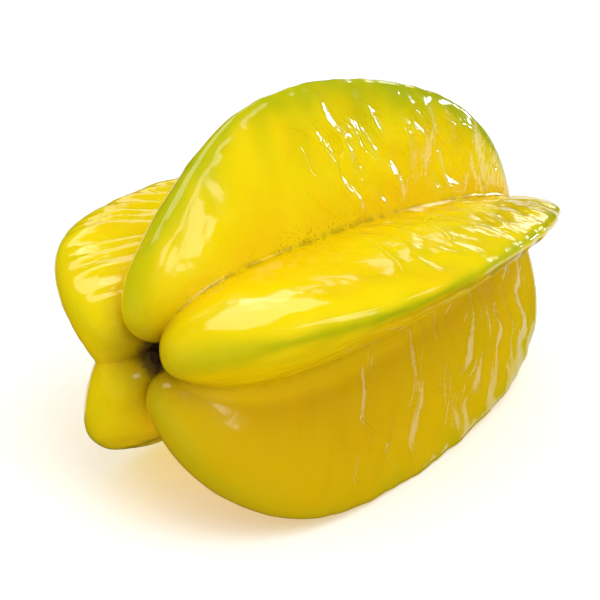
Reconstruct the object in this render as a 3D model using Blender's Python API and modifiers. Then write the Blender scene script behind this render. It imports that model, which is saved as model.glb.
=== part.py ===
"""A whole star fruit (carambola), lying on two of its five ribs.

The skin is one soft closed form.  A coarse cage of rings runs from the floor of the
stalk pit, over the crowns of the ribs and along the body to the tip, and a Subdivision
Surface rounds it.  The dried stub of the stalk stands in the pit as a piece of its own.

Fruit frame: +X runs along the core from the stalk end to the tip.  Angles turn about
+X, with 90 degrees at +Z and 0 degrees at -Y.  Lengths below are in millimetres.
"""
import math

import bmesh
import bpy
import numpy as np
from mathutils import Vector

MM = 0.001

# Body
TIP_X = 116.0               # where the core ends
WIDEST_X = 38.5             # station where the crests stand highest
CROWN_X = -3.3              # the crowns of the ribs stand this far past the core's start
CROWN_RADIUS = 9.1          # distance of each crown from the core's axis
CREST_END_SHORT = 0.6       # the crests stop this far short of the core's tip
CREST_END_RADIUS = 3.0
TIP_DIMPLE = 0.5            # depth of the small dimple in the tip
TWIST = 1.0                 # degrees that the ribs turn from stalk end to tip

# One row for each rib: angle, height of the crest above the axis, and how much fuller
# than a quarter ellipse the crest runs ahead of its widest station and behind it.
RIBS = (
    (91.5, 39.5, -0.45, -0.10),
    (15.0, 38.0, 0.05, -0.15),
    (-57.0, 38.0, 0.25, 0.20),
    (-131.5, 34.0, 0.20, 0.00),
    (-210.0, 36.0, 0.20, -0.30),
)

# One row for each valley, the first between ribs 1 and 2: degrees that it is turned
# away from half way, the station and the radius where its floor comes over the crown,
# and the taper and the squareness of the two ribs' flanks at the stalk end.
VALLEYS = (
    (5.5, 0.8, 6.9, 0.13, 3.1),
    (2.5, 0.8, 6.9, 0.13, 3.1),
    (-2.0, 1.4, 6.9, 0.13, 3.1),
    (0.5, -1.6, 8.0, 0.35, 2.3),
    (0.0, 0.7, 7.2, 0.13, 3.1),
)
VALLEY_DEEPEST_X = 29.5
VALLEY_RADIUS = 16.4        # radius of the core that the valleys leave
VALLEY_END_RADIUS = 1.2
VALLEY_FULLNESS = (0.15, -0.50)

# Stalk pit
PIT_X = 4.7
PIT_CREST_RADIUS = 2.2
PIT_VALLEY_RADIUS = 3.6
PIT_FLOOR_DROP = 0.4        # the floor's centre lies this much deeper than its rim
PIT_RING_DROP = 0.1
CORE_SHIFT = (2.5, 0.3)     # Y and Z by which the stalk end sits off the axis
CORE_SHIFT_START = -5.0
CORE_SHIFT_LENGTH = 38.0    # stretch of the body over which that shift fades out

# Cross-section of a rib at the widest station and at the tip
RIB_TAPER = (0.57, 0.62)        # how much thinner a rib is at its crest
RIB_SQUARENESS = (2.8, 6.0)     # how late its sides turn in to the crest
RIB_COLUMNS = (0.0, 0.07, 0.42, 0.8, 0.96, 1.0)

# Cage rings on the pit wall, ahead of the widest station and behind it
PIT_RINGS = 4
FRONT_RINGS = 6
BACK_RINGS = 9
SUBDIVISION = 1

# Stalk stub
STUB_BASE_RADIUS = 1.3
STUB_TOP_RADIUS = 1.05
STUB_HEIGHT = 1.9
STUB_SIDES = 14
STUB_BEVEL = 0.25
STUB_CLEARANCE = 0.6        # from the pit floor's centre to the underside of the stub

# Pose in which the fruit lies still on ribs 3 and 4, in degrees
REST_ROLL = -8.3
REST_PITCH = 2.35


def clear_scene():
    for old in list(bpy.data.objects):
        bpy.data.objects.remove(old, do_unlink=True)


def make_material(name, color, roughness):
    material = bpy.data.materials.new(name)
    material.use_nodes = True
    shader = material.node_tree.nodes["Principled BSDF"]
    shader.inputs["Base Color"].default_value = (*color, 1.0)
    shader.inputs["Roughness"].default_value = roughness
    shader.inputs["Metallic"].default_value = 0.0
    material.diffuse_color = (*color, 1.0)
    return material


def smooth_step(value):
    t = np.clip(value, 0.0, 1.0)
    return t * t * (3.0 - 2.0 * t)


def ring_angles():
    """Angle of each ring along a meridian.

    It is -90 degrees at the pit's rim, 0 on the crown, 90 at the widest station and
    180 at the tip.
    """
    quarter = math.pi / 2
    wall = np.linspace(-quarter, 0.0, PIT_RINGS, endpoint=False)
    front = np.linspace(0.0, quarter, FRONT_RINGS, endpoint=False)
    back = np.linspace(quarter, math.pi, BACK_RINGS + 1)
    return np.concatenate([wall, front, back])


def blend_along(angles, values):
    """Runs from the stalk-end value to the widest-station value to the tip value."""
    stalk, widest, tip = values
    station = angles / (math.pi / 2)
    to_widest = smooth_step(station)
    to_tip = smooth_step(station - 1.0)
    return stalk + (widest - stalk) * to_widest + (tip - widest) * to_tip


def meridian(angles, pit_radius, crown, widest, tip, fullness):
    """Stations and radii of one line from the pit's rim over the crown to the tip."""
    crown_x, crown_radius = crown
    widest_x, widest_radius = widest
    tip_x, tip_radius = tip
    behind = smooth_step((angles - math.pi / 4) / (math.pi / 2))
    reach = (widest_x - crown_x) * (1.0 - behind) + (tip_x - widest_x) * behind
    end_radius = crown_radius * (1.0 - behind) + tip_radius * behind
    full = fullness[0] * (1.0 - behind) + fullness[1] * behind
    rise = np.sin(angles) * (1.0 + full * np.cos(angles) ** 2)
    body_x = widest_x - reach * np.cos(angles)
    body_radius = end_radius + (widest_radius - end_radius) * rise
    wall_x = crown_x + (PIT_X - crown_x) * (1.0 - np.cos(angles))
    wall_radius = crown_radius + (crown_radius - pit_radius) * np.sin(angles)
    on_wall = angles < 0.0
    return np.where(on_wall, wall_x, body_x), np.where(on_wall, wall_radius, body_radius)


def valley_angles():
    """Angle of the valley that follows each rib."""
    angles = []
    for index, (turn, *_) in enumerate(VALLEYS):
        here = RIBS[index][0]
        after = RIBS[(index + 1) % len(RIBS)][0]
        if after > here:
            after -= 360.0
        angles.append((here + after) / 2 + turn)
    return angles


def rib_side(angles, rib, valley_angle, valley, side):
    """Points of one side of a rib, one row for each ring, from the valley to the crest."""
    rib_angle, height, front_full, back_full = rib
    _, valley_x, valley_radius, stalk_taper, stalk_squareness = valley
    crest_x, crest_radius = meridian(
        angles,
        PIT_CREST_RADIUS,
        (CROWN_X, CROWN_RADIUS),
        (WIDEST_X, height),
        (TIP_X - CREST_END_SHORT, CREST_END_RADIUS),
        (front_full, back_full),
    )
    floor_x, floor_radius = meridian(
        angles,
        PIT_VALLEY_RADIUS,
        (valley_x, valley_radius),
        (VALLEY_DEEPEST_X, VALLEY_RADIUS),
        (TIP_X, VALLEY_END_RADIUS),
        VALLEY_FULLNESS,
    )
    spread = math.radians(abs(valley_angle - rib_angle))
    root = (floor_radius * math.cos(spread))[:, None]
    half_width = (floor_radius * math.sin(spread))[:, None]
    taper = blend_along(angles, (stalk_taper, *RIB_TAPER))[:, None]
    squareness = blend_along(angles, (stalk_squareness, *RIB_SQUARENESS))[:, None]
    column = np.array(RIB_COLUMNS)[None, :]
    x = floor_x[:, None] + (crest_x - floor_x)[:, None] * column
    out = root + (crest_radius[:, None] - root) * column
    aside = half_width * (1.0 - taper * column) * np.sqrt(1.0 - column ** squareness)
    turn = np.radians(rib_angle + TWIST * x / TIP_X)
    y = -out * np.cos(turn) + side * aside * np.sin(turn)
    z = out * np.sin(turn) + side * aside * np.cos(turn)
    return np.stack([x, y, z], axis=-1)


def fruit_rings():
    """The cage as an array: ring, place round the ring, coordinate."""
    angles = ring_angles()
    valleys = valley_angles()
    strips = []
    for index, rib in enumerate(RIBS):
        before = valleys[index - 1]
        if before < rib[0]:
            before += 360.0
        rising = rib_side(angles, rib, before, VALLEYS[index - 1], 1.0)
        falling = rib_side(angles, rib, valleys[index], VALLEYS[index], -1.0)
        strips.append(rising[:, :-1])
        strips.append(falling[:, :0:-1])
    rings = np.concatenate(strips, axis=1)
    fade = 1.0 - smooth_step((rings[..., 0] - CORE_SHIFT_START) / CORE_SHIFT_LENGTH)
    rings[..., 1] += CORE_SHIFT[0] * fade
    rings[..., 2] += CORE_SHIFT[1] * fade
    return rings


def pit_floor(rings):
    """Centre of the pit's floor, and the ring half way out to its rim."""
    centre = rings[0].mean(axis=0) + np.array([PIT_FLOOR_DROP, 0.0, 0.0])
    half_way = (rings[0] + centre) / 2 + np.array([PIT_RING_DROP, 0.0, 0.0])
    return centre, half_way


def loft(name, first, rings, last, material):
    """Closed cage through the rings, with a fan to a point at each end."""
    mesh = bpy.data.meshes.new(name)
    bm = bmesh.new()
    start = bm.verts.new(Vector(first) * MM)
    loops = [[bm.verts.new(Vector(point) * MM) for point in ring] for ring in rings]
    end = bm.verts.new(Vector(last) * MM)
    around = len(loops[0])
    for place in range(around):
        after = (place + 1) % around
        bm.faces.new((start, loops[0][place], loops[0][after]))
        for ring, following in zip(loops, loops[1:]):
            bm.faces.new((ring[place], following[place], following[after], ring[after]))
        bm.faces.new((end, loops[-1][after], loops[-1][place]))
    bmesh.ops.recalc_face_normals(bm, faces=bm.faces)
    bm.to_mesh(mesh)
    bm.free()
    mesh.shade_smooth()
    mesh.materials.append(material)
    return bpy.data.objects.new(name, mesh)


def make_fruit(rings, centre, half_way, material):
    tip = (TIP_X - TIP_DIMPLE, 0.0, 0.0)
    fruit = loft("fruit", centre, [half_way, *rings], tip, material)
    soften = fruit.modifiers.new("soften", "SUBSURF")
    soften.levels = SUBDIVISION
    soften.render_levels = SUBDIVISION
    return fruit


def make_stub(centre, material):
    """The dried stub: a short cone with rounded ends, pointing out of the pit."""
    bpy.ops.mesh.primitive_cone_add(
        vertices=STUB_SIDES,
        radius1=STUB_BASE_RADIUS * MM,
        radius2=STUB_TOP_RADIUS * MM,
        depth=STUB_HEIGHT * MM,
    )
    stub = bpy.context.object
    stub.name = "stalk_stub"
    stub.data.name = "stalk_stub"
    stub.rotation_euler = (0.0, -math.pi / 2, 0.0)
    out_of_floor = STUB_CLEARANCE + STUB_HEIGHT / 2
    stub.location = (Vector(centre) - Vector((out_of_floor, 0.0, 0.0))) * MM
    edges = stub.modifiers.new("worn_edges", "BEVEL")
    edges.width = STUB_BEVEL * MM
    edges.segments = 2
    edges.limit_method = "ANGLE"
    stub.data.shade_smooth()
    stub.data.materials.append(material)
    return stub


def lay_down(pose, fruit):
    """Tips the fruit into its rest pose and puts its base's centre at the origin."""
    pose.rotation_euler = (math.radians(REST_ROLL), math.radians(REST_PITCH), 0.0)
    bpy.context.view_layer.update()
    shape = fruit.evaluated_get(bpy.context.evaluated_depsgraph_get())
    corners = np.array([shape.matrix_world @ vertex.co for vertex in shape.data.vertices])
    low = corners.min(axis=0)
    high = corners.max(axis=0)
    pose.location = (-(low[0] + high[0]) / 2, -(low[1] + high[1]) / 2, -low[2])
    bpy.context.view_layer.update()


def main():
    clear_scene()
    collection = bpy.data.collections.new("star_fruit")
    bpy.context.scene.collection.children.link(collection)
    skin = make_material("fruit_skin", (0.86, 0.66, 0.01), 0.28)
    bark = make_material("dry_stalk", (0.03, 0.014, 0.005), 0.85)

    rings = fruit_rings()
    centre, half_way = pit_floor(rings)
    fruit = make_fruit(rings, centre, half_way, skin)
    stub = make_stub(centre, bark)
    for old_home in list(stub.users_collection):
        old_home.objects.unlink(stub)
    collection.objects.link(fruit)
    collection.objects.link(stub)

    pose = bpy.data.objects.new("rest_pose", None)
    collection.objects.link(pose)
    fruit.parent = pose
    stub.parent = pose
    lay_down(pose, fruit)


main()
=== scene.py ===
"""Looks of a whole star fruit: its waxy, wrinkled skin and the dried stub of its stalk.

The skin is the same closed form as the CAD solid, worked out finely enough for its
wrinkles and lumps to be real shapes.  It lies on a pale floor in soft studio light.

Fruit frame: +X runs along the core from the stalk end to the tip.  Angles turn about
+X, with 90 degrees at +Z and 0 degrees at -Y.  Lengths are in millimetres, except where
a name ends in _M.  Ribs are numbered from 0 and faces, two to a rib, from 0 to 9.
"""

import math

import bpy
import numpy as np
from mathutils import Matrix, Vector


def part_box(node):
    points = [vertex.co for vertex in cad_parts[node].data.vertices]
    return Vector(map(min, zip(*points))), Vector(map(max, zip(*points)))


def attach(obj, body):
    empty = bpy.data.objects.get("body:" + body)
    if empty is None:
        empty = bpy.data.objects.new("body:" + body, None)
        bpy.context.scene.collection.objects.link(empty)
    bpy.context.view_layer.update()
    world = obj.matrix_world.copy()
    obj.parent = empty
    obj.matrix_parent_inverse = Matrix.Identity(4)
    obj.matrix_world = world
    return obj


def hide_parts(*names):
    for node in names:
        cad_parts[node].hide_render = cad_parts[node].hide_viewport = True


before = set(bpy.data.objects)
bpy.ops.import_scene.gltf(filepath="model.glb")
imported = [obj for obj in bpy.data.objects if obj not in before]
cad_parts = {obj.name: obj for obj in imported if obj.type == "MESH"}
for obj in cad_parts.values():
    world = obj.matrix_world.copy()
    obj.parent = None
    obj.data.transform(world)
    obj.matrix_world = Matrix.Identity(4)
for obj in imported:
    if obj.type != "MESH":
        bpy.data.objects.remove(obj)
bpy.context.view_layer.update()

MM = 0.001
QUARTER_TURN = math.pi / 2


def smooth_step(value):
    part = np.clip(value, 0.0, 1.0)
    return part * part * (3.0 - 2.0 * part)


def ramp(value, start, length):
    """Climbs smoothly from 0 at the start to 1 at the end of this length."""
    return smooth_step((value - start) / length)


# --- the form of the fruit ---------------------------------------------------------

# Body: the driving dimensions of the CAD solid
TIP_X = 116.0
WIDEST_X = 38.5
CROWN_X = -3.3
CROWN_RADIUS = 9.1
CREST_END_SHORT = 0.6
CREST_END_RADIUS = 3.0
TIP_DIMPLE = 0.5
TWIST = 1.0

# One row for each rib: angle, crest height, fullness ahead of the widest station and behind
RIBS = (
    (91.5, 39.5, -0.45, -0.10),
    (15.0, 38.0, 0.05, -0.15),
    (-57.0, 38.0, 0.25, 0.20),
    (-131.5, 34.0, 0.20, 0.00),
    (-210.0, 36.0, 0.20, -0.30),
)

# One row for each valley: degrees away from half way, station and radius where it comes
# over the crown, and the taper and squareness of its flanks at the stalk end
VALLEYS = (
    (5.5, 0.8, 6.9, 0.13, 3.1),
    (2.5, 0.8, 6.9, 0.13, 3.1),
    (-2.0, 1.4, 6.9, 0.13, 3.1),
    (0.5, -1.6, 8.0, 0.35, 2.3),
    (0.0, 0.7, 7.2, 0.13, 3.1),
)
VALLEY_DEEPEST_X = 29.5
VALLEY_RADIUS = 16.4
VALLEY_END_RADIUS = 1.2
VALLEY_FULLNESS = (0.15, -0.50)

# Stalk pit
PIT_X = 4.7
PIT_CREST_RADIUS = 2.2
PIT_VALLEY_RADIUS = 3.6
PIT_FLOOR_DROP = 0.4
PIT_RING_DROP = 0.1

# Near the stalk the core lies aside by this much in Y and Z, and by less further along
CORE_SHIFT = (2.5, 0.3)
CORE_SHIFT_START = -5.0
CORE_SHIFT_LENGTH = 38.0

# Cross-section of a rib: its flanks at the widest station and at the tip, and the places of
# the cage's points on the way from the valley to the crest
RIB_TAPER = (0.57, 0.62)
RIB_SQUARENESS = (2.8, 6.0)
RIB_COLUMNS = (0.0, 0.07, 0.42, 0.8, 0.96, 1.0)

# Rings of the cage on the pit's wall, ahead of the widest station and behind it
PIT_RINGS = 4
FRONT_RINGS = 6
BACK_RINGS = 9

# How the fruit is turned to rest on two ribs, in degrees about X and then about Y
REST_ROLL = -8.3
REST_PITCH = 2.35


def ring_angles():
    """Angle of each ring along a meridian: -90 at the pit's rim, 0 on the crown, 180 at the tip."""
    wall = np.linspace(-QUARTER_TURN, 0.0, PIT_RINGS, endpoint=False)
    front = np.linspace(0.0, QUARTER_TURN, FRONT_RINGS, endpoint=False)
    back = np.linspace(QUARTER_TURN, math.pi, BACK_RINGS + 1)
    return np.concatenate([wall, front, back])


def blend_along(angles, values):
    """Runs from the stalk-end value to the widest-station value to the tip value."""
    stalk, widest, tip = values
    station = angles / QUARTER_TURN
    to_widest = smooth_step(station)
    to_tip = smooth_step(station - 1.0)
    return stalk + (widest - stalk) * to_widest + (tip - widest) * to_tip


def meridian(angles, pit_radius, crown, widest, tip, fullness):
    """Stations and radii of one line from the pit's rim over the crown to the tip."""
    crown_x, crown_radius = crown
    widest_x, widest_radius = widest
    tip_x, tip_radius = tip
    behind = ramp(angles, QUARTER_TURN / 2, QUARTER_TURN)
    reach = (widest_x - crown_x) * (1.0 - behind) + (tip_x - widest_x) * behind
    end_radius = crown_radius * (1.0 - behind) + tip_radius * behind
    full = fullness[0] * (1.0 - behind) + fullness[1] * behind
    rise = np.sin(angles) * (1.0 + full * np.cos(angles) ** 2)
    body_x = widest_x - reach * np.cos(angles)
    body_radius = end_radius + (widest_radius - end_radius) * rise
    wall_x = crown_x + (PIT_X - crown_x) * (1.0 - np.cos(angles))
    wall_radius = crown_radius + (crown_radius - pit_radius) * np.sin(angles)
    on_wall = angles < 0.0
    return np.where(on_wall, wall_x, body_x), np.where(on_wall, wall_radius, body_radius)


def valley_angles():
    """Angle of the valley that follows each rib."""
    angles = []
    for index, (turn, *_) in enumerate(VALLEYS):
        here = RIBS[index][0]
        after = RIBS[(index + 1) % len(RIBS)][0]
        if after > here:
            after -= 360.0
        angles.append((here + after) / 2 + turn)
    return angles


def rib_side(angles, rib, valley_angle, valley, side):
    """Points of one side of a rib, one row for each ring, from the valley to the crest."""
    rib_angle, height, front_full, back_full = rib
    _, valley_x, valley_radius, stalk_taper, stalk_squareness = valley
    crest_x, crest_radius = meridian(
        angles,
        PIT_CREST_RADIUS,
        (CROWN_X, CROWN_RADIUS),
        (WIDEST_X, height),
        (TIP_X - CREST_END_SHORT, CREST_END_RADIUS),
        (front_full, back_full),
    )
    floor_x, floor_radius = meridian(
        angles,
        PIT_VALLEY_RADIUS,
        (valley_x, valley_radius),
        (VALLEY_DEEPEST_X, VALLEY_RADIUS),
        (TIP_X, VALLEY_END_RADIUS),
        VALLEY_FULLNESS,
    )
    spread = math.radians(abs(valley_angle - rib_angle))
    root = (floor_radius * math.cos(spread))[:, None]
    half_width = (floor_radius * math.sin(spread))[:, None]
    taper = blend_along(angles, (stalk_taper, *RIB_TAPER))[:, None]
    squareness = blend_along(angles, (stalk_squareness, *RIB_SQUARENESS))[:, None]
    column = np.array(RIB_COLUMNS)[None, :]
    x = floor_x[:, None] + (crest_x - floor_x)[:, None] * column
    out = root + (crest_radius[:, None] - root) * column
    aside = half_width * (1.0 - taper * column) * np.sqrt(1.0 - column ** squareness)
    turn = np.radians(rib_angle + TWIST * x / TIP_X)
    y = -out * np.cos(turn) + side * aside * np.sin(turn)
    z = out * np.sin(turn) + side * aside * np.cos(turn)
    return np.stack([x, y, z], axis=-1)


def cage_rings():
    """The cage as an array: ring, place round the ring, coordinate.  Its first and last
    rings are single points, the centre of the pit's floor and the tip."""
    angles = ring_angles()
    valleys = valley_angles()
    strips = []
    for index, rib in enumerate(RIBS):
        before = valleys[index - 1]
        if before < rib[0]:
            before += 360.0
        rising = rib_side(angles, rib, before, VALLEYS[index - 1], 1.0)
        falling = rib_side(angles, rib, valleys[index], VALLEYS[index], -1.0)
        strips.append(rising[:, :-1])
        strips.append(falling[:, :0:-1])
    rings = np.concatenate(strips, axis=1)
    fade = 1.0 - ramp(rings[..., 0], CORE_SHIFT_START, CORE_SHIFT_LENGTH)
    rings[..., 1] += CORE_SHIFT[0] * fade
    rings[..., 2] += CORE_SHIFT[1] * fade
    centre = rings[0].mean(axis=0) + np.array([PIT_FLOOR_DROP, 0.0, 0.0])
    half_way = (rings[0] + centre) / 2 + np.array([PIT_RING_DROP, 0.0, 0.0])
    tip = np.array([TIP_X - TIP_DIMPLE, 0.0, 0.0])
    ends = [np.broadcast_to(end, rings[0].shape)[None] for end in (centre, tip)]
    return np.concatenate([ends[0], half_way[None], rings, ends[1]])


# --- splines and noise -------------------------------------------------------------

# Fineness of the skin: steps in each interval of the cage, from valley to crest and along
STEPS_ACROSS = (4, 8, 9, 5, 4)
STEPS_IN_PIT = 5
STEPS_IN_FRONT = 14
STEPS_IN_BACK = 24
STEPS_AT_END = 4

# Fields of noise: a seed, and how far apart each face or rib reads the field, in its two
# directions
NOISE_FIELDS = {
    "bends": (11, 3.1, 7.7),
    "folds": (21, 17.3, 5.7),
    "ridges": (31, 15.6, 7.4),
    "patches": (41, 2.3, 4.1),
    "lumps": (51, 9.1, 1.9),
    "stub": (61, 0.0, 0.0),
    "crest waves": (71, 0.0, 3.7),
    "green": (81, 6.3, 0.0),
    "ripples": (91, 0.0, 19.0),
}
LATTICE = 97
NOISE_GAIN = 2.2                           # brings most readings near the range from -1 to 1


def cubic_weights(part):
    """Weights of the four cage points round a place that is this part of the way between two."""
    return (
        (1.0 - part) ** 3 / 6.0,
        (3.0 * part ** 3 - 6.0 * part ** 2 + 4.0) / 6.0,
        (-3.0 * part ** 3 + 3.0 * part ** 2 + 3.0 * part + 1.0) / 6.0,
        part ** 3 / 6.0,
    )


def spline_rows(rows, places):
    """Places on the uniform cubic spline through rows, which begin one before place 0."""
    whole = np.minimum(np.floor(places).astype(int), len(rows) - 4)
    part = (places - whole).reshape((-1,) + (1,) * (rows.ndim - 1))
    return sum(w * rows[whole + i] for i, w in enumerate(cubic_weights(part)))


def smooth_skin(cage, along, across):
    """The smooth limit surface of the cage at these places along it and round it."""
    half_turn = cage.shape[1] // 2
    opposite_start = np.roll(cage[1], half_turn, axis=0)[None]
    opposite_end = np.roll(cage[-2], half_turn, axis=0)[None]
    rows = np.concatenate([opposite_start, cage, opposite_end])
    rings = spline_rows(rows, along)
    round_rows = np.moveaxis(rings, 1, 0)
    round_rows = np.concatenate([round_rows[-1:], round_rows, round_rows[:2]])
    skin = np.moveaxis(spline_rows(round_rows, across), 0, 1)
    skin[0] = skin[0].mean(axis=0)
    skin[-1] = skin[-1].mean(axis=0)
    return skin


def spaced(counts):
    """Places that divide each interval of the cage into its own count of steps."""
    places = [start + np.arange(count) / count for start, count in enumerate(counts)]
    return np.concatenate(places)


def places_along():
    counts = [STEPS_AT_END] + [STEPS_IN_PIT] * (PIT_RINGS + 1)
    counts += [STEPS_IN_FRONT] * FRONT_RINGS + [STEPS_IN_BACK] * BACK_RINGS + [STEPS_AT_END]
    return np.append(spaced(counts), float(len(counts)))


def places_across():
    return spaced((STEPS_ACROSS + STEPS_ACROSS[::-1]) * len(RIBS))


def spline_noise(x, y, seed):
    """A smooth random height at each place, from a lattice of random heights one apart."""
    lattice = np.random.default_rng(seed).uniform(-1.0, 1.0, (LATTICE, LATTICE))
    column, row = np.floor(x).astype(int), np.floor(y).astype(int)
    weights_x, weights_y = cubic_weights(x - column), cubic_weights(y - row)
    height = np.zeros_like(x)
    for i, weight_x in enumerate(weights_x):
        for j, weight_y in enumerate(weights_y):
            height += weight_x * weight_y * lattice[(column + i) % LATTICE, (row + j) % LATTICE]
    return NOISE_GAIN * height


def noise_field(name, x, y, number=0):
    """The named field at these places, read in another part for each numbered face or rib."""
    seed, x_apart, y_apart = NOISE_FIELDS[name]
    return spline_noise(x + x_apart * number, y + y_apart * number, seed)


# --- wrinkles ----------------------------------------------------------------------

# One row for each rib: spacing, lean towards the tip per mm inwards, height of the rolling
# folds, height of the pinched ridges among them, and the stations where the wrinkles begin
# and where they have grown to their full height
WRINKLES = (
    (2.2, 0.80, 0.40, 0.32, 20.0, 50.0),
    (1.6, 0.60, 0.25, 0.20, 16.0, 48.0),
    (1.8, 0.70, 0.34, 0.24, 4.0, 34.0),
    (1.8, 0.70, 0.34, 0.24, 4.0, 34.0),
    (1.6, 2.20, 0.52, 0.04, -13.0, 2.0),
)
SPACING, LEAN, FOLD_HEIGHT, RIDGE_HEIGHT, WRINKLES_BEGIN, WRINKLES_FULL = np.array(WRINKLES).T
SMOOTHER_FACES = {3: 0.3}                  # the underside of rib 1 is hardly wrinkled
WRINKLE_LENGTH = 5.5
WRINKLE_FADES = (0.12, 0.26)               # from valley and crest, as shares of a face's width
BEND_SPACINGS = (5.0, 3.5)                 # along the fruit and outwards
BEND_DEPTH = 1.1                           # in wrinkle spacings

# Pinched ridges: how much finer they are than the folds, across and along, and the patches
# where they are high
RIDGE_FINENESS = (0.9, 1.3)
RIDGE_WIDTH = 0.12
RIDGE_SHARE_IN_MESH = 0.62                 # the shader's bump has the rest, for its finer grain
PATCH_SPACINGS = (3.6, 3.0)
PATCH_MIDDLE = 0.50
PATCH_CONTRAST = 1.3

# Soft lumps on the faces, fine ripples over them and waves of the crests
FACE_FADE = 0.15                           # as a share of a face's width
LUMP_SPACING = 3.6
LUMP_HEIGHT = 0.20
RIPPLE_SPACING = 1.4
RIPPLE_HEIGHT = 0.05
RIPPLES_ACROSS = 19.0                      # steps of the noise over a face's width
CREST_WAVE_LENGTH = 2.8
CREST_WAVE_HEIGHT = 0.18
CREST_WIDTH = 0.25                         # as a share of a face's width
CREST_WAVES_START = 12.0
CREST_WAVES_GROW = 30.0

# The relief grows from one station, and fades out ahead of the tip
RELIEF_START = -3.0
RELIEF_GROW = 12.0
RELIEF_FADE = 20.0
SHORTEST_NORMAL = 1e-12


def outward(skin):
    """Unit normals of the skin's grid, pointing out."""
    along = np.gradient(skin, axis=0)
    across = np.roll(skin, -1, axis=1) - np.roll(skin, 1, axis=1)
    normals = np.cross(across, along)
    length = np.linalg.norm(normals, axis=-1, keepdims=True)
    normals /= np.maximum(length, SHORTEST_NORMAL)
    top = np.unravel_index(skin[..., 2].argmax(), skin.shape[:2])
    return normals * np.sign(normals[top][2])


def fade_at_edges(share, from_valley, from_crest):
    """None at the valley and at the crest, all of it in the middle of a face."""
    return smooth_step(share / from_valley) * smooth_step((1.0 - share) / from_crest)


def wrinkle_places(skin, rib, face):
    """Where each point lies across the wrinkles and along them, in wrinkle spacings and lengths."""
    x = skin[..., 0]
    radius = np.hypot(skin[..., 1], skin[..., 2])
    bend = noise_field("bends", x / BEND_SPACINGS[0], radius / BEND_SPACINGS[1], face)
    across = (x + LEAN[rib] * radius) / SPACING[rib] + BEND_DEPTH * bend
    return across, radius / WRINKLE_LENGTH


def wrinkled_share(skin, share, rib, face):
    """How far the wrinkles have grown: from none ahead of where they begin to all of it."""
    grown = ramp(skin[..., 0], WRINKLES_BEGIN[rib], WRINKLES_FULL[rib] - WRINKLES_BEGIN[rib])
    on_face = fade_at_edges(share, *WRINKLE_FADES)
    for smoother, part in SMOOTHER_FACES.items():
        on_face = np.where(face == smoother, part * on_face, on_face)
    return grown * on_face


def ridge_lines(skin, share, rib, face):
    """The pinched ridges: a field that is zero along their tops, and their height in mm."""
    across, along = wrinkle_places(skin, rib, face)
    x = skin[..., 0]
    radius = np.hypot(skin[..., 1], skin[..., 2])
    line = noise_field("ridges", RIDGE_FINENESS[0] * across, RIDGE_FINENESS[1] * along, face)
    patches = noise_field("patches", x / PATCH_SPACINGS[0], radius / PATCH_SPACINGS[1], face)
    height = RIDGE_HEIGHT[rib] * wrinkled_share(skin, share, rib, face)
    return line, height * smooth_step(PATCH_MIDDLE + PATCH_CONTRAST * patches)


def relief(skin, share, rib, face):
    """Height of the wrinkles, lumps, ripples and crest waves above the smooth skin."""
    x = skin[..., 0]
    radius = np.hypot(skin[..., 1], skin[..., 2])
    across, along = wrinkle_places(skin, rib, face)
    folds = noise_field("folds", across, along, face)
    height = FOLD_HEIGHT[rib] * folds * wrinkled_share(skin, share, rib, face)

    line, ridge_height = ridge_lines(skin, share, rib, face)
    height += RIDGE_SHARE_IN_MESH * ridge_height * np.exp(-(line / RIDGE_WIDTH) ** 2)

    lumps = noise_field("lumps", x / LUMP_SPACING, radius / LUMP_SPACING, face)
    height += LUMP_HEIGHT * lumps * fade_at_edges(share, FACE_FADE, FACE_FADE)

    side = 2.0 * (face - 2.0 * rib) - 1.0
    from_crest = RIPPLES_ACROSS * (1.0 - share) * side
    ripples = noise_field("ripples", x / RIPPLE_SPACING, from_crest, rib)
    height += RIPPLE_HEIGHT * ripples * smooth_step(share / FACE_FADE)

    waves = noise_field("crest waves", x / CREST_WAVE_LENGTH, np.zeros_like(x), rib)
    on_crest = ramp(share, 1.0 - CREST_WIDTH, CREST_WIDTH)
    on_crest *= ramp(x, CREST_WAVES_START, CREST_WAVES_GROW)
    height += CREST_WAVE_HEIGHT * waves * on_crest
    return height * ramp(x, RELIEF_START, RELIEF_GROW) * smooth_step((TIP_X - x) / RELIEF_FADE)


# --- where the colours lie ---------------------------------------------------------

# Green along the crests: stations, then for each rib the width of the band in mm, how strong
# it is and how far it lies below the crest at those stations
GREEN_STATIONS = (-4.0, 6.0, 20.0, 40.0, 62.0, 85.0, 105.0)
ON_CREST = (0.0,) * len(GREEN_STATIONS)
GREEN_BANDS = (
    ((11.0, 11.0, 12.0, 17.0, 17.0, 15.0, 14.0), (0.60, 0.85, 0.90, 0.85, 0.90, 1.20, 1.20), ON_CREST),
    (
        (9.0, 5.0, 3.2, 2.6, 2.6, 2.9, 3.2),
        (0.50, 0.80, 0.95, 0.90, 0.90, 0.85, 0.60),
        (0.8, 0.8, 0.8, 0.1, -0.7, -0.9, -0.9),
    ),
    ((10.0, 9.0, 7.0, 7.0, 8.0, 8.0, 8.0), (0.45, 0.45, 0.42, 0.45, 0.50, 0.55, 0.60), ON_CREST),
    ((8.0, 6.0, 5.0, 5.0, 6.0, 7.0, 7.0), (0.20, 0.25, 0.25, 0.30, 0.40, 0.50, 0.60), ON_CREST),
    ((8.0, 8.0, 6.0, 5.0, 5.0, 6.0, 6.0), (0.25, 0.35, 0.35, 0.25, 0.25, 0.35, 0.50), ON_CREST),
)
GREEN_WANDER = 0.35                        # how far a band's width wanders, as a share of it
GREEN_WANDER_SPACINGS = (3.0, 4.0)         # along the crest and away from it
GREEN_CORE = 0.45                          # width of a band's stronger middle

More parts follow.
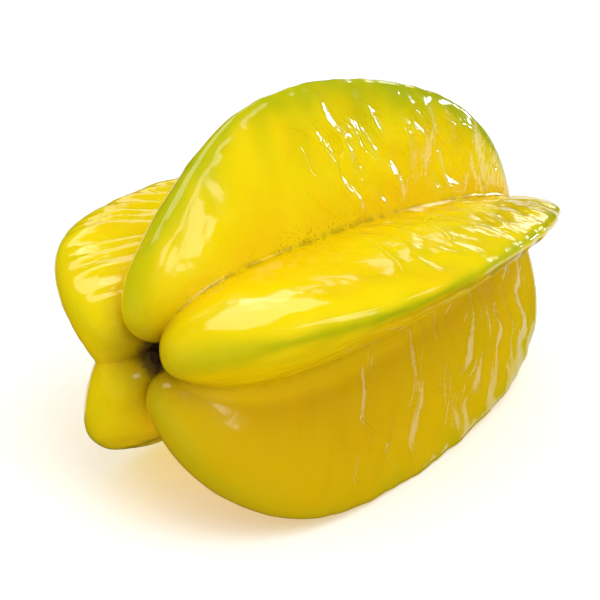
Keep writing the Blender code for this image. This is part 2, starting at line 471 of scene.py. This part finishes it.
# Painted shade: the rib under rib 1's overhang, which faces the floor, is painted darker and more orange;
# the rib, and how strong this shade is at two stations (strongest near the stalk, where rib 1 shades it
# most)
SHADED_RIB = 2
SHADE_STATIONS = (25.0, 90.0)
SHADE_SHARES = (0.67, 0.48)
SHADE_FADE = 0.2                           # from the valley, as a share of a face's width

# How speckled each valley is, beginning with the one after rib 0
VALLEY_SPECKS = (0.85, 0.22, 0.45, 0.05, 0.30)

# How far a fine grain breaks up each rib's wrinkles
GRAIN = (1.0, 0.25, 0.20, 0.35, 0.30)


def green_share(skin):
    """How green each point is: bands along the crests, wide or narrow by rib and station."""
    per_rib = skin.shape[1] // len(RIBS)
    green = np.zeros(skin.shape[:2])
    for rib, (widths, strengths, shifts) in enumerate(GREEN_BANDS):
        mine = slice(rib * per_rib, (rib + 1) * per_rib)
        crest = skin[:, rib * per_rib + per_rib // 2]
        width, strength, shift = (
            np.interp(crest[:, 0], GREEN_STATIONS, row)[:, None] for row in (widths, strengths, shifts)
        )
        away = np.linalg.norm(skin[:, mine] - crest[:, None], axis=-1)
        past_crest = np.arange(per_rib) >= per_rib // 2
        away = np.abs(np.where(past_crest, away, -away) - shift)
        x_spacing, away_spacing = GREEN_WANDER_SPACINGS
        wander = noise_field("green", skin[:, mine, 0] / x_spacing, away / away_spacing, rib)
        width = width * (1.0 + GREEN_WANDER * wander)
        wide = smooth_step(1.0 - away / width)
        narrow = smooth_step(1.0 - away / (GREEN_CORE * width))
        green[:, mine] = strength * (wide + narrow) / 2
    return green


def painted_shade_share(skin, share, rib):
    """How much painted shade each point has: darker orange on the shaded rib only, and less near its
    valleys.
    """
    along = np.interp(skin[..., 0], SHADE_STATIONS, SHADE_SHARES)
    return (rib == SHADED_RIB) * along * smooth_step(share / SHADE_FADE)


def speckled_share(rib, face):
    """How speckled each point is, by the valley at the foot of its face."""
    valley = np.where(face > 2.0 * rib, rib, rib - 1)
    return np.array(VALLEY_SPECKS)[valley]


# --- meshes ------------------------------------------------------------------------

# Stub: its profile as shares of its length and of its radius, from the middle of its outer
# end to the middle of its foot, and how ragged it is
STUB_PROFILE = (
    (0.0, 0.0),
    (0.06, 0.55),
    (0.02, 0.8),
    (0.10, 0.84),
    (0.3, 0.84),
    (0.6, 0.9),
    (0.9, 0.97),
    (0.97, 0.9),
    (1.0, 0.5),
    (1.0, 0.0),
)
STUB_SIDES = 36
STUB_ROWS = 14
STUB_RAGGED_WIDTH = 0.07                   # as a share of its radius
STUB_RAGGED_LENGTH = 0.05
STUB_NOISE_ROUND = 3.0                     # steps of the noise for each radian
STUB_NOISE_ALONG = 0.6                     # steps of the noise for each row


def new_object(name, data):
    thing = bpy.data.objects.new(name, data)
    bpy.context.scene.collection.objects.link(thing)
    return thing


def closed_grid(name, grid):
    """A closed mesh through a grid whose first and last rows are single points."""
    rows, around = grid.shape[:2]
    inner = grid[1:-1].reshape(-1, 3)
    points = np.concatenate([grid[:1, 0], inner, grid[-1:, 0]]) * MM
    last = len(points) - 1
    last_ring = 1 + (rows - 3) * around
    faces = []
    for place in range(around):
        after = (place + 1) % around
        faces.append((0, 1 + place, 1 + after))
        faces.append((last, last_ring + after, last_ring + place))
    for row in range(rows - 3):
        here = 1 + row * around
        beyond = here + around
        for place in range(around):
            after = (place + 1) % around
            faces.append((here + place, beyond + place, beyond + after, here + after))
    mesh = bpy.data.meshes.new(name)
    mesh.from_pydata(points.tolist(), [], faces)
    mesh.shade_smooth()
    return mesh


def add_field(mesh, name, values):
    """Stores one number for each vertex of a closed grid."""
    flat = np.concatenate([values[:1, 0], values[1:-1].ravel(), values[-1:, 0]])
    attribute = mesh.attributes.new(name, "FLOAT", "POINT")
    attribute.data.foreach_set("value", flat.astype(np.float32))


def rest_turn():
    roll = Matrix.Rotation(math.radians(REST_ROLL), 3, "X")
    pitch = Matrix.Rotation(math.radians(REST_PITCH), 3, "Y")
    return np.array(pitch @ roll)


def lay_down(skin, height):
    """The skin with its relief, turned to rest on the ground in its place in the frame."""
    turn = rest_turn()
    smooth = skin @ turn.T
    low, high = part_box("fruit")
    middle = (np.array(low) + np.array(high)) / 2 / MM
    shift = middle - (smooth.min((0, 1)) + smooth.max((0, 1))) / 2
    laid = (skin + outward(skin) * height[..., None]) @ turn.T + shift
    laid[..., 2] = np.maximum(laid[..., 2], 0.0)
    return laid


def make_fruit():
    """The skin, with the fields that its material reads."""
    across = places_across()
    cage = cage_rings()
    skin = smooth_skin(cage, places_along(), across)
    rib_span = 2 * len(STEPS_ACROSS)
    rib = np.floor(across / rib_span).astype(int)
    place = across - rib * rib_span
    face = np.broadcast_to(2.0 * rib + (place >= rib_span / 2), skin.shape[:2])
    column = np.minimum(place, rib_span - place)
    share = np.interp(column, range(len(RIB_COLUMNS)), RIB_COLUMNS)
    share = np.broadcast_to(share, skin.shape[:2])
    ridge_line, ridge_height = ridge_lines(skin, share, rib, face)
    fields = {
        "share": share,
        "station": skin[..., 0] / TIP_X,
        "green": green_share(skin),
        "from_pit": np.linalg.norm(skin - cage[0, 0], axis=-1),
        "ridge_line": ridge_line,
        "ridge_height": ridge_height,
        "grain": wrinkled_share(skin, share, rib, face) * np.array(GRAIN)[rib],
        # painted shade: darker and more orange on the rib under rib 1's overhang
        "painted_shade": painted_shade_share(skin, share, rib),
        "speckled": speckled_share(rib, face),
    }
    mesh = closed_grid("fruit_skin", lay_down(skin, relief(skin, share, rib, face)))
    for name, values in fields.items():
        add_field(mesh, name, values)
    return new_object("fruit_skin", mesh)


def make_stub():
    """The dried stub: a short turned cone with ragged sides and a dented outer end."""
    low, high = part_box("stalk_stub")
    centre = (low + high) / 2
    length = high.x - low.x
    radius = (high.z - low.z) / 2
    rows = np.linspace(0, 1, STUB_ROWS)
    corners = np.linspace(0, 1, len(STUB_PROFILE))
    stations, radii = (np.interp(rows, corners, column)[:, None] for column in zip(*STUB_PROFILE))
    angle = np.arange(STUB_SIDES) * 2 * math.pi / STUB_SIDES
    ragged = noise_field("stub", *np.meshgrid(
        angle * STUB_NOISE_ROUND,
        np.arange(STUB_ROWS) * STUB_NOISE_ALONG,
    ))
    spread = radii * radius * (1.0 + STUB_RAGGED_WIDTH * ragged)
    x = low.x + stations * length + STUB_RAGGED_LENGTH * MM * ragged * np.sin(math.pi * stations)
    y = centre.y + spread * np.cos(angle)
    z = centre.z + spread * np.sin(angle)
    grid = np.stack([x, y, z], axis=-1)
    grid[0] = grid[0].mean(0)
    grid[-1] = grid[-1].mean(0)
    return new_object("dried_stub", closed_grid("dried_stub", grid / MM))


# --- materials ---------------------------------------------------------------------

YELLOW = (0.90, 0.70, 0.0010, 1.0)
GOLD = (0.90, 0.60, 0.0010, 1.0)
# Painted shade colour: a darker, more orange yellow for the rib that rib 1 shades
SHADE_ORANGE = (0.58, 0.325, 0.0010, 1.0)
LEAF = (0.43, 0.47, 0.0030, 1.0)
SPECK = (0.30, 0.17, 0.006, 1.0)
OCHRE = (0.42, 0.27, 0.004, 1.0)
BROWN = (0.20, 0.115, 0.010, 1.0)
# Near-black floor of the pit: partly the dried scar, partly painted shade of the deep pit
SCAR_AND_SHADE_DARK = (0.035, 0.015, 0.004, 1.0)
STUB_DARK = (0.010, 0.005, 0.002, 1.0)
STUB_BROWN = (0.045, 0.020, 0.008, 1.0)
FLOOR_COLOR = (0.97, 0.97, 0.97, 1.0)
PALE = (1.0, 1.0, 1.0, 1.0)

# Noise in the materials: how fine it is, per metre, and its detail
PIT_EDGE_NOISE = (700.0, 3.0)
GRAIN_NOISE = (620.0, 2.0)
STUB_COLOR_NOISE = (1500.0, 4.0)
STUB_GRAIN_NOISE = (2600.0, 3.0)

# Patterns made from noise: how fine it is and its detail, the two readings between which the
# pattern runs, and what it gives at each
PATTERNS = {
    "warmth": (55.0, 3.0, 0.45, 0.65, 0.0, 0.5),
    "unripe patches": (38.0, 3.0, 0.50, 0.70, 0.0, 0.22),
    "uneven green": (140.0, 3.0, 0.25, 0.60, 0.72, 1.05),
    "broken line": (320.0, 3.0, 0.42, 0.60, 0.15, 0.75),
    "speck groups": (75.0, 2.0, 0.40, 0.58, 0.0, 1.0),
    "specks": (2300.0, 1.0, 0.60, 0.68, 0.0, 1.0),
    "roughness": (240.0, 3.0, 0.3, 0.7, 0.09, 0.14),
    "stub roughness": (2200.0, 2.0, 0.3, 0.7, 0.75, 0.95),
}

# Fades over the skin: the two readings between which a fade runs, and what it gives at each.
# They read the share of the way from valley to crest,
SHARE_FADES = {
    "warm valley": (0.45, 0.0, 0.0, 0.7),
    "valley line": (0.05, 0.0, 0.0, 1.0),
    "specks": (0.13, 0.01, 0.06, 1.0),
}
# the station as a share of the distance to the tip,
STATION_FADES = {
    "unripe half": (0.25, 0.6, 0.0, 1.0),
    "green nose": (0.10, -0.03, 0.0, 0.12),
    "specks": (0.62, 0.34, 0.25, 1.0),
}
# or the distance from the floor of the pit in mm, which darkens the skin towards the pit: partly the
# dried scar's own colour, partly painted shade of the deep pit and the crowded rib noses round it
PIT_FADES = {
    "ochre": (14.5, 4.2, 0.0, 0.80),
    "brown": (5.4, 3.2, 0.0, 1.0),
    "dark": (2.9, 1.9, 0.0, 1.0),
    "dull": (5.5, 3.0, 0.0, 0.6),
}
SPECK_STRENGTH = 0.75
PIT_EDGE_RAGGED = 1.3                      # how far the pit's colours stray each way, in mm
GRAIN_OFF_WRINKLES = 0.2
GRAIN_HEIGHT_M = 0.00022
STUB_GRAIN_HEIGHT_M = 0.0001

SKIN_SETTINGS = {
    "IOR": 1.5,
    "Subsurface Weight": 0.15,
    "Subsurface Radius": (1.0, 0.6, 0.1),
    "Subsurface Scale": 0.003,
}
STUB_SETTINGS = {"Specular IOR Level": 0.1}
FLOOR_SETTINGS = {
    "Base Color": FLOOR_COLOR,
    "Roughness": 0.9,
    "Specular IOR Level": 0.1,
    "Emission Color": PALE,
    "Emission Strength": 0.16,             # keeps the far floor as pale as what lies beyond it
}


class Nodes:
    """A shorthand for the node tree of a material or of the world."""

    def __init__(self, owner):
        owner.use_nodes = True
        self.owner = owner
        self.tree = owner.node_tree

    def put(self, socket, value):
        if isinstance(value, bpy.types.NodeSocket):
            self.tree.links.new(value, socket)
        else:
            socket.default_value = value

    def set_shader(self, values):
        """Gives each named input of the surface's shader a constant or a link."""
        shader = self.tree.nodes["Principled BSDF"]
        for name, value in values.items():
            self.put(shader.inputs[name], value)

    def math(self, operation, *values):
        node = self.tree.nodes.new("ShaderNodeMath")
        node.operation = operation
        for socket, value in zip(node.inputs, values):
            self.put(socket, value)
        return node.outputs[0]

    def product(self, first, *others):
        for other in others:
            first = self.math("MULTIPLY", first, other)
        return first

    def field(self, name):
        node = self.tree.nodes.new("ShaderNodeAttribute")
        node.attribute_name = name
        return node.outputs["Fac"]

    def noise(self, scale, detail):
        place = self.tree.nodes.new("ShaderNodeTexCoord").outputs["Object"]
        node = self.tree.nodes.new("ShaderNodeTexNoise")
        self.put(node.inputs["Vector"], place)
        self.put(node.inputs["Scale"], scale)
        self.put(node.inputs["Detail"], detail)
        return node.outputs["Fac"]

    def between(self, value, low, high, at_low=0.0, at_high=1.0):
        """A smooth step from what it gives at the low reading to what it gives at the high one."""
        node = self.tree.nodes.new("ShaderNodeMapRange")
        node.interpolation_type = "SMOOTHSTEP"
        names = ("Value", "From Min", "From Max", "To Min", "To Max")
        for name, item in zip(names, (value, low, high, at_low, at_high)):
            self.put(node.inputs[name], item)
        return node.outputs["Result"]

    def pattern(self, name):
        scale, detail, *step = PATTERNS[name]
        return self.between(self.noise(scale, detail), *step)

    def mix(self, share, first, second):
        node = self.tree.nodes.new("ShaderNodeMix")
        node.data_type = "RGBA"
        self.put(node.inputs["Factor"], share)
        self.put(node.inputs["A"], first)
        self.put(node.inputs["B"], second)
        return node.outputs["Result"]

    def bump(self, height, distance, under=None):
        node = self.tree.nodes.new("ShaderNodeBump")
        self.put(node.inputs["Distance"], distance)
        self.put(node.inputs["Height"], height)
        if under is not None:
            self.put(node.inputs["Normal"], under)
        return node.outputs["Normal"]


def skin_color(nodes, share, station, from_pit):
    """Yellow to gold, green on the crests, specks in the valleys; painted shade as darker orange on the
    rib under rib 1's overhang, and brown to near black round the pit, partly the scar's own colour and
    partly painted shade.
    """
    warm = nodes.between(share, *SHARE_FADES["warm valley"])
    warm = nodes.math("ADD", warm, nodes.pattern("warmth"))
    color = nodes.mix(warm, YELLOW, GOLD)
    # painted shade: the rib under rib 1's overhang turned darker and more orange
    color = nodes.mix(nodes.field("painted_shade"), color, SHADE_ORANGE)

    far_half = nodes.between(station, *STATION_FADES["unripe half"])
    color = nodes.mix(nodes.product(nodes.pattern("unripe patches"), far_half), color, LEAF)
    green = nodes.product(nodes.field("green"), nodes.pattern("uneven green"))
    nose = nodes.between(station, *STATION_FADES["green nose"])
    color = nodes.mix(nodes.math("MAXIMUM", green, nose), color, LEAF)

    speckled = nodes.field("speckled")
    line = nodes.between(share, *SHARE_FADES["valley line"])
    color = nodes.mix(nodes.product(nodes.pattern("broken line"), speckled, line), color, OCHRE)
    specks = nodes.product(
        nodes.between(share, *SHARE_FADES["specks"]),
        nodes.pattern("speck groups"),
        nodes.between(station, *STATION_FADES["specks"]),
        nodes.pattern("specks"),
        SPECK_STRENGTH,
        speckled,
    )
    color = nodes.mix(specks, color, SPECK)

    # Round the pit: an ochre halo, a brown wall and a near-black floor; partly the dried scar's own
    # colour, partly painted shade of the deep pit and the crowded rib noses round it
    for name, tone in (("ochre", OCHRE), ("brown", BROWN), ("dark", SCAR_AND_SHADE_DARK)):
        color = nodes.mix(nodes.between(from_pit, *PIT_FADES[name]), color, tone)
    return color


def skin_normal(nodes):
    """The finer part of the pinched ridges, with a fine grain over them."""
    line = nodes.math("DIVIDE", nodes.field("ridge_line"), RIDGE_WIDTH)
    ridge = nodes.math("EXPONENT", nodes.product(line, line, -1.0))
    ridge = nodes.product(ridge, nodes.field("ridge_height"))
    ridges = nodes.bump(ridge, (1.0 - RIDGE_SHARE_IN_MESH) * MM)
    depth = nodes.math("MULTIPLY_ADD", nodes.field("grain"), 1.0 - GRAIN_OFF_WRINKLES, GRAIN_OFF_WRINKLES)
    grain = nodes.product(nodes.noise(*GRAIN_NOISE), depth)
    return nodes.bump(grain, GRAIN_HEIGHT_M, ridges)


def skin_material():
    nodes = Nodes(bpy.data.materials.new("fruit_skin"))
    stray = nodes.noise(*PIT_EDGE_NOISE)
    stray = nodes.math("MULTIPLY_ADD", stray, 2.0 * PIT_EDGE_RAGGED, -PIT_EDGE_RAGGED)
    from_pit = nodes.math("ADD", nodes.field("from_pit"), stray)
    dull = nodes.between(from_pit, *PIT_FADES["dull"])
    nodes.set_shader({
        "Base Color": skin_color(nodes, nodes.field("share"), nodes.field("station"), from_pit),
        "Roughness": nodes.math("MAXIMUM", nodes.pattern("roughness"), dull),
        "Normal": skin_normal(nodes),
    })
    nodes.set_shader(SKIN_SETTINGS)
    return nodes.owner


def stub_material():
    nodes = Nodes(bpy.data.materials.new("dry_stalk"))
    nodes.set_shader({
        "Base Color": nodes.mix(nodes.noise(*STUB_COLOR_NOISE), STUB_DARK, STUB_BROWN),
        "Roughness": nodes.pattern("stub roughness"),
        "Normal": nodes.bump(nodes.noise(*STUB_GRAIN_NOISE), STUB_GRAIN_HEIGHT_M),
    })
    nodes.set_shader(STUB_SETTINGS)
    return nodes.owner


def floor_material():
    nodes = Nodes(bpy.data.materials.new("pale_floor"))
    nodes.set_shader(FLOOR_SETTINGS)
    return nodes.owner


# --- stage -------------------------------------------------------------------------

FLOOR_SIZE_M = 24.0
AIM_M = Vector((-0.0152, 0.0, 0.0289))
CAMERA_AZIMUTH = -56.67
CAMERA_ELEVATION = 24.13
CAMERA_ROLL = -4.55
CAMERA_DISTANCE_M = 0.4314
CAMERA_LENS = 144.96

# The world's light on the fruit: from above, from the table and from right under the fruit.
# Heights are parts of a unit vector: -1 is straight down.
SKY_LIGHT = (0.86, 0.86, 0.86, 1.0)
TABLE_LIGHT = (0.68, 0.59, 0.44, 1.0)
TABLE_LIGHT_BELOW = (1.25, 1.08, 0.82, 1.0)
HORIZON_BLUR = 0.2
BELOW_HEIGHTS = (-0.4, -0.9)

# The world in the fruit's gloss: dark, but for the pale table on the right and a warm room
# low down towards -X.  The room's glow grows from the first of each pair to the second.
DARK_IN_GLOSS = (0.01, 0.01, 0.01, 1.0)
TABLE_GLOW = (0.9, 0.9, 0.9, 1.0)
TABLE_GLOW_AZIMUTHS = (66.0, 160.0)
TABLE_GLOW_ELEVATIONS = (-29.0, -7.0)
TABLE_GLOW_EDGE = 2.0
ROOM_GLOW = (0.30, 0.25, 0.11, 1.0)
ROOM_GLOW_X = (-0.75, -0.95)
ROOM_GLOW_ELEVATIONS = (40.0, 0.0)

# Name, azimuth, elevation, roll, distance, width and height in m, radiance, and whether the
# lamp lights the fruit or shows in its gloss
LAMPS = (
    ("daylight", -20.0, 58.0, 0.0, 1.8, 1.6, 1.6, 1.6, "diffuse"),
    ("left_fill", -125.0, 8.0, 0.0, 1.8, 1.2, 1.0, 1.0, "diffuse"),
    ("right_fill", 95.0, 8.0, 0.0, 1.8, 1.2, 1.0, 1.0, "diffuse"),
    ("overhead", 180.0, 65.0, 0.0, 1.6, 1.40, 0.86, 2.7, "gloss"),
    ("overhead_right", 139.5, 46.0, 65.0, 1.6, 0.62, 0.32, 2.7, "gloss"),
    ("low_right", 129.5, 21.0, 0.0, 1.6, 0.36, 0.60, 1.25, "gloss"),
    ("front_top", -5.0, 60.0, 0.0, 1.6, 1.20, 0.22, 3.0, "gloss"),
    ("front_right", -7.5, 42.0, 45.0, 0.268, 0.078, 0.138, 3.2, "gloss"),
    ("right_high", 62.0, 42.0, 0.0, 2.0, 0.42, 0.42, 2.4, "gloss"),
    ("right_key", 87.0, 2.8, 0.0, 2.0, 0.10, 0.10, 110.0, "gloss"),
    ("side_strip", 112.0, 6.6, 0.0, 2.0, 0.38, 0.28, 2.2, "gloss"),
    ("crest_strip", 96.0, 15.5, 0.0, 2.0, 0.34, 0.12, 6.0, "gloss"),
)


def direction(azimuth, elevation):
    """Unit vector towards a place round the object; azimuth 0 is -Y and 90 is +X."""
    turn = math.radians(azimuth)
    climb = math.radians(elevation)
    level = math.cos(climb)
    return Vector((math.sin(turn) * level, -math.cos(turn) * level, math.sin(climb)))


def roll_about_z(degrees):
    return Matrix.Rotation(math.radians(degrees), 3, "Z").to_quaternion()


def make_camera():
    data = bpy.data.cameras.new("camera")
    data.lens = CAMERA_LENS
    camera = new_object("camera", data)
    back = direction(CAMERA_AZIMUTH, CAMERA_ELEVATION)
    camera.location = AIM_M + back * CAMERA_DISTANCE_M
    camera.rotation_mode = "QUATERNION"
    camera.rotation_quaternion = (-back).to_track_quat("-Z", "Y") @ roll_about_z(-CAMERA_ROLL)
    bpy.context.scene.camera = camera


def make_softbox(name, azimuth, elevation, roll, distance, width, height, radiance, lights):
    """A rectangular lamp that faces the fruit.  Radiance is what a mirror would show."""
    data = bpy.data.lights.new(name, "AREA")
    data.shape = "RECTANGLE"
    data.size = width
    data.size_y = height
    data.energy = radiance * width * height * math.pi
    lamp = new_object(name, data)
    back = direction(azimuth, elevation)
    lamp.location = AIM_M + back * distance
    lamp.rotation_mode = "QUATERNION"
    lamp.rotation_quaternion = back.to_track_quat("Z", "Y") @ roll_about_z(roll)
    lamp.visible_camera = False
    lamp.visible_diffuse = lights != "gloss"
    lamp.visible_glossy = lights != "diffuse"


def world_light(nodes, z):
    """The world as light on the fruit."""
    light = nodes.mix(nodes.between(z, -HORIZON_BLUR, HORIZON_BLUR), TABLE_LIGHT, SKY_LIGHT)
    return nodes.mix(nodes.between(z, *BELOW_HEIGHTS), light, TABLE_LIGHT_BELOW)


def world_gloss(nodes, x, y, z):
    """The world as the fruit's gloss shows it."""
    azimuth = nodes.math("ARCTAN2", x, nodes.product(y, -1.0))
    elevation = nodes.math("ARCSINE", z)
    blur = math.radians(TABLE_GLOW_EDGE)
    sides = []
    for angle, limits in ((azimuth, TABLE_GLOW_AZIMUTHS), (elevation, TABLE_GLOW_ELEVATIONS)):
        low, high = (math.radians(limit) for limit in limits)
        sides.append(nodes.between(angle, low - blur, low + blur))
        sides.append(nodes.between(angle, high + blur, high - blur))
    gloss = nodes.mix(nodes.product(*sides), DARK_IN_GLOSS, TABLE_GLOW)
    none, full = (math.radians(limit) for limit in ROOM_GLOW_ELEVATIONS)
    room = nodes.product(nodes.between(x, *ROOM_GLOW_X), nodes.between(elevation, none, full))
    return nodes.mix(room, gloss, ROOM_GLOW)


def make_world():
    """Pale to the camera, softer as light on the fruit, and mostly dark in its gloss."""
    world = bpy.data.worlds.new("studio")
    nodes = Nodes(world)
    path = nodes.tree.nodes.new("ShaderNodeLightPath")
    split = nodes.tree.nodes.new("ShaderNodeSeparateXYZ")
    place = nodes.tree.nodes.new("ShaderNodeTexCoord")
    nodes.put(split.inputs[0], place.outputs["Generated"])
    x, y, z = split.outputs
    color = nodes.mix(path.outputs["Is Glossy Ray"], world_light(nodes, z), world_gloss(nodes, x, y, z))
    color = nodes.mix(path.outputs["Is Camera Ray"], color, PALE)
    nodes.put(nodes.tree.nodes["Background"].inputs["Color"], color)
    bpy.context.scene.world = world


def make_floor():
    bpy.ops.mesh.primitive_plane_add(size=FLOOR_SIZE_M)
    floor = bpy.context.object
    floor.name = "floor"
    floor.data.materials.append(floor_material())
    floor.visible_glossy = False
    floor.visible_diffuse = False


def main():
    make_camera()
    fruit = make_fruit()
    fruit.data.materials.append(skin_material())
    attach(fruit, "root")
    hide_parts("fruit")
    stub = make_stub()
    stub.data.materials.append(stub_material())
    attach(stub, "root")
    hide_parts("stalk_stub")
    make_floor()
    make_world()
    for lamp in LAMPS:
        make_softbox(*lamp)
    bpy.context.scene.view_settings.view_transform = "Standard"


main()
